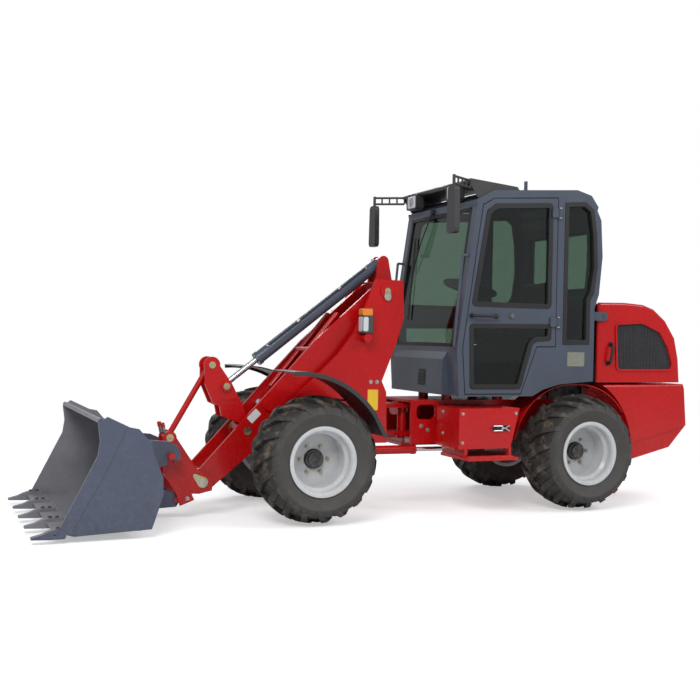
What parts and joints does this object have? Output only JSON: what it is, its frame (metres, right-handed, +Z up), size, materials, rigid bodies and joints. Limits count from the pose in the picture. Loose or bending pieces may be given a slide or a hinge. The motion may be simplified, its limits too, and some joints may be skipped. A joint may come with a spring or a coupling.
{
  "type": "compact articulated wheel loader",
  "caption": "Compact wheel loader with hinged centre frame, cab, lifting boom with crank linkage, quick hitch and toothed bucket.",
  "frame": {"origin": "on the ground under the middle of the machine, halfway between the bucket teeth and the counterweight", "axes": "+X forward to the bucket, +Y to the machine's left, +Z up"},
  "size_m": [4.5819, 1.41, 2.2149],
  "materials": {
    "red_paint": "gloss",
    "bucket_paint": "satin",
    "cab_paint": "satin",
    "dark_paint": "satin",
    "dark_metal": "satin",
    "zinc": "satin",
    "chrome": "polished",
    "rim_paint": "satin",
    "tyre": "matte",
    "black_plastic": "matte",
    "dark_plastic": "matte",
    "lamp_plastic": "gloss",
    "glass": "polished",
    "iron": "matte",
    "seat_fabric": "matte"
  },
  "bodies": {
    "chassis": {"rear_frame": "red_paint", "rear_axle": "dark_paint", "engine_block": "iron", "counterweight": "red_paint", "side_boxes": "red_paint", "cab_floor": "dark_plastic", "cab_front": "cab_paint", "cab_side_frames": "cab_paint", "cab_rear_wall": "cab_paint", "cab_roof": "cab_paint", "cab_glass": "glass", "seat": "seat_fabric", "light_bar": "black_plastic", "rear_fenders": "red_paint"},
    "hood": {"hood": "red_paint", "hood_grilles": "black_plastic"},
    "door_left": {"door_left": "cab_paint", "door_left_glass": "glass"},
    "door_right": {"door_right": "cab_paint", "door_right_glass": "glass"},
    "front": {"front_frame": "red_paint", "front_axle": "dark_paint", "front_fenders": "black_plastic", "front_lamps": "lamp_plastic"},
    "boom": {"boom": "red_paint"},
    "hitch_pin": {"hitch_pin": "zinc"},
    "attachment": {"quick_hitch": "red_paint", "bucket": "bucket_paint"},
    "crank_pin": {"crank_pin": "zinc"},
    "bell_crank": {"bell_crank": "red_paint"},
    "link_pin": {"link_pin": "zinc"},
    "link_rod": {"link_rod": "red_paint"},
    "lift_barrel": {"lift_barrel": "red_paint"},
    "lift_rod": {"lift_rod": "chrome"},
    "tilt_barrel": {"tilt_barrel": "cab_paint"},
    "tilt_rod": {"tilt_rod": "chrome"},
    "steering_barrel": {"steering_barrel": "red_paint"},
    "steering_rod": {"steering_rod": "chrome"},
    "wheel_front_left": {"tyre_front_left": "tyre", "rim_front_left": "rim_paint"},
    "wheel_front_right": {"tyre_front_right": "tyre", "rim_front_right": "rim_paint"},
    "wheel_rear_left": {"tyre_rear_left": "tyre", "rim_rear_left": "rim_paint"},
    "wheel_rear_right": {"tyre_rear_right": "tyre", "rim_rear_right": "rim_paint"}
  },
  "joints": [
    {"name": "steering", "type": "hinge", "parent": "chassis", "child": "front", "pos_m": [-0.212, 0, 0.59], "axis": [0, 0, 1], "range_deg": [-38, 38]},
    {"name": "lift", "type": "hinge", "parent": "front", "child": "boom", "pos_m": [0.013, 0, 1.438], "axis": [0, -1, 0], "range_deg": [0, 90]},
    {"name": "hitch_level", "type": "hinge", "parent": "boom", "child": "hitch_pin", "pos_m": [1.228, 0, 0.222], "axis": [0, 1, 0], "range_deg": [0, 90]},
    {"name": "bucket_tilt", "type": "hinge", "parent": "hitch_pin", "child": "attachment", "pos_m": [1.228, 0, 0.222], "axis": [0, 1, 0], "range_deg": [-45, 45]},
    {"name": "crank_level", "type": "hinge", "parent": "boom", "child": "crank_pin", "pos_m": [0.93276, 0, 0.52722], "axis": [0, 1, 0], "range_deg": [0, 56.11]},
    {"name": "crank_turn", "type": "hinge", "parent": "crank_pin", "child": "bell_crank", "pos_m": [0.93276, 0, 0.52722], "axis": [0, 1, 0], "range_deg": [-24.76, 24.76]},
    {"name": "link_level", "type": "hinge", "parent": "bell_crank", "child": "link_pin", "pos_m": [1.14776, 0, 0.93922], "axis": [0, -1, 0], "range_deg": [0, 27.05]},
    {"name": "link_turn", "type": "hinge", "parent": "link_pin", "child": "link_rod", "pos_m": [1.14776, 0, 0.93922], "axis": [0, -1, 0], "range_deg": [-20.77, 20.77]},
    {"name": "lift_barrel_turn", "type": "hinge", "parent": "front", "child": "lift_barrel", "pos_m": [0.09673, 0, 1.13569], "axis": [0, -1, 0], "range_deg": [0, 91.84]},
    {"name": "lift_rod_slide", "type": "slide", "parent": "lift_barrel", "child": "lift_rod", "axis": [0.8408, 0, -0.5413], "range_m": [0, 0.4434]},
    {"name": "tilt_barrel_turn", "type": "hinge", "parent": "front", "child": "tilt_barrel", "pos_m": [-0.021, 0, 1.642], "axis": [0, -1, 0], "range_deg": [0, 83.96]},
    {"name": "tilt_rod_slide", "type": "slide", "parent": "tilt_barrel", "child": "tilt_rod", "axis": [0.7896, 0, -0.6136], "range_m": [-0.106, 0.106]},
    {"name": "steering_barrel_turn", "type": "hinge", "parent": "front", "child": "steering_barrel", "pos_m": [0.228, 0.1925, 0.392], "axis": [0, 0, 1], "range_deg": [-13.91, 13.91]},
    {"name": "steering_rod_slide", "type": "slide", "parent": "steering_barrel", "child": "steering_rod", "axis": [-0.9997, 0.0255, 0], "range_m": [-0.1326, 0.1326]},
    {"name": "hood_hinge", "type": "hinge", "parent": "chassis", "child": "hood", "pos_m": [-1.527, 0, 1.308], "axis": [0, 1, 0], "range_deg": [0, 45]},
    {"name": "door_left_hinge", "type": "hinge", "parent": "chassis", "child": "door_left", "pos_m": [-1.11723, 0.514, 1.5], "axis": [0, 0, 1], "range_deg": [0, 95]},
    {"name": "door_right_hinge", "type": "hinge", "parent": "chassis", "child": "door_right", "pos_m": [-1.11723, -0.514, 1.5], "axis": [0, 0, -1], "range_deg": [0, 95]},
    {"name": "wheel_front_left_turn", "type": "hinge", "parent": "front", "child": "wheel_front_left", "pos_m": [0.628, 0.512, 0.387], "axis": [0, 1, 0], "continuous": true},
    {"name": "wheel_front_right_turn", "type": "hinge", "parent": "front", "child": "wheel_front_right", "pos_m": [0.628, -0.512, 0.387], "axis": [0, 1, 0], "continuous": true},
    {"name": "wheel_rear_left_turn", "type": "hinge", "parent": "chassis", "child": "wheel_rear_left", "pos_m": [-1.281, 0.512, 0.387], "axis": [0, 1, 0], "continuous": true},
    {"name": "wheel_rear_right_turn", "type": "hinge", "parent": "chassis", "child": "wheel_rear_right", "pos_m": [-1.281, -0.512, 0.387], "axis": [0, 1, 0], "continuous": true}
  ],
  "couplings": [
    {"joint": "hitch_level", "follows": "lift", "ratio": 1},
    {"joint": "crank_level", "follows": "lift", "ratio": 0.6233},
    {"joint": "crank_turn", "follows": "bucket_tilt", "ratio": 0.55},
    {"joint": "link_level", "follows": "lift", "ratio": 0.3005},
    {"joint": "link_turn", "follows": "bucket_tilt", "ratio": 0.4613},
    {"joint": "lift_barrel_turn", "follows": "lift", "ratio": 1.0203},
    {"joint": "lift_rod_slide", "follows": "lift", "m_per_rad": 0.2822},
    {"joint": "tilt_barrel_turn", "follows": "lift", "ratio": 0.9328},
    {"joint": "tilt_rod_slide", "follows": "bucket_tilt", "m_per_rad": 0.1348},
    {"joint": "steering_barrel_turn", "follows": "steering", "ratio": -0.3657},
    {"joint": "steering_rod_slide", "follows": "steering", "m_per_rad": -0.1998}
  ]
}
